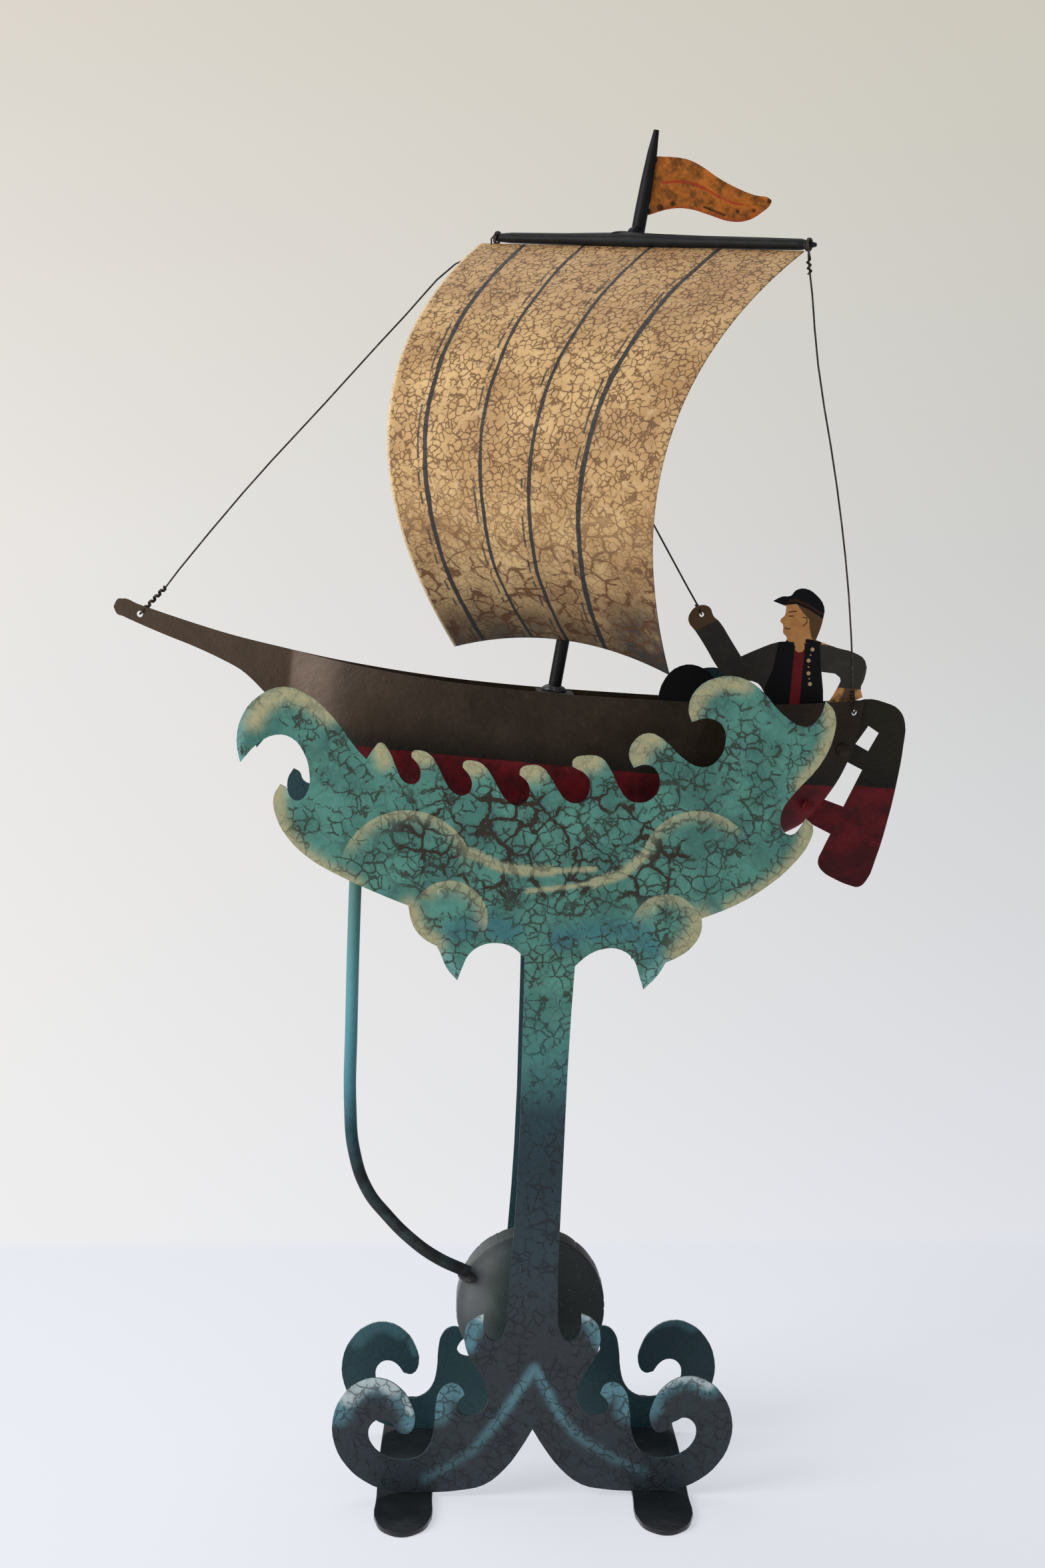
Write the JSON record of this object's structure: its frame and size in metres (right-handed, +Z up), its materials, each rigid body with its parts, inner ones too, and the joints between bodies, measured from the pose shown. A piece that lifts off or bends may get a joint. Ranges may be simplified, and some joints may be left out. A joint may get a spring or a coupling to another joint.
{
  "type": "kinetic balance sailboat sculpture",
  "caption": "Painted sheet-metal sailboat with a fisherman, rocking on a cross rod between two wave-shaped stand plates, balanced by a bent rod and disc.",
  "frame": {"origin": "on the table, under the middle of the whole object's box", "axes": "+Z up, bow towards -X, Y across the boat with the pictured front at -Y"},
  "size_m": [0.3442, 0.1852, 0.5853],
  "materials": {
    "wave_paint": "hand-painted turquoise crackle fading to slate at the base",
    "strap_black": "gloss black",
    "bare_steel": "plain worn steel",
    "hull_brown": "satin dark brown, red below the waterline",
    "rudder_paint": "satin olive brown over dark red",
    "spar_charcoal": "satin charcoal",
    "sail_beige": "matte beige crackle with dark painted seams",
    "pennant_ochre": "mottled ochre",
    "rigging_wire": "dark annealed wire",
    "figure_paint": "hand-painted matte figure",
    "rod_paint": "turquoise fading to near black",
    "disc_paint": "dark grey-brown"
  },
  "bodies": {
    "stand": {"front_plate": "wave_paint", "rear_plate": "wave_paint", "foot_strap_left": "strap_black", "foot_strap_right": "strap_black", "spacer_rod_left": "wave_paint", "spacer_rod_right": "wave_paint", "pivot_rod": "bare_steel"},
    "boat": {"pivot_saddle": "bare_steel", "hull_side_port": "hull_brown", "hull_side_starboard": "hull_brown", "rudder": "rudder_paint", "rudder_rivet_upper": "hull_brown", "rudder_rivet_lower": "hull_brown", "mast_thwart": "hull_brown", "stern_thwart": "hull_brown", "mast": "spar_charcoal", "yard": "spar_charcoal", "sail": "sail_beige", "pennant": "pennant_ochre", "forestay_wire": "rigging_wire", "backstay_wire": "rigging_wire", "sheet_wire": "rigging_wire", "fisherman": "figure_paint", "balance_rod": "rod_paint", "balance_disc": "disc_paint"}
  },
  "joints": [
    {"name": "boat_rock", "type": "hinge", "parent": "stand", "child": "boat", "pos_m": [0.01757, 0.00507, 0.26483], "axis": [0, 1, 0], "range_deg": [-15, 9]}
  ]
}
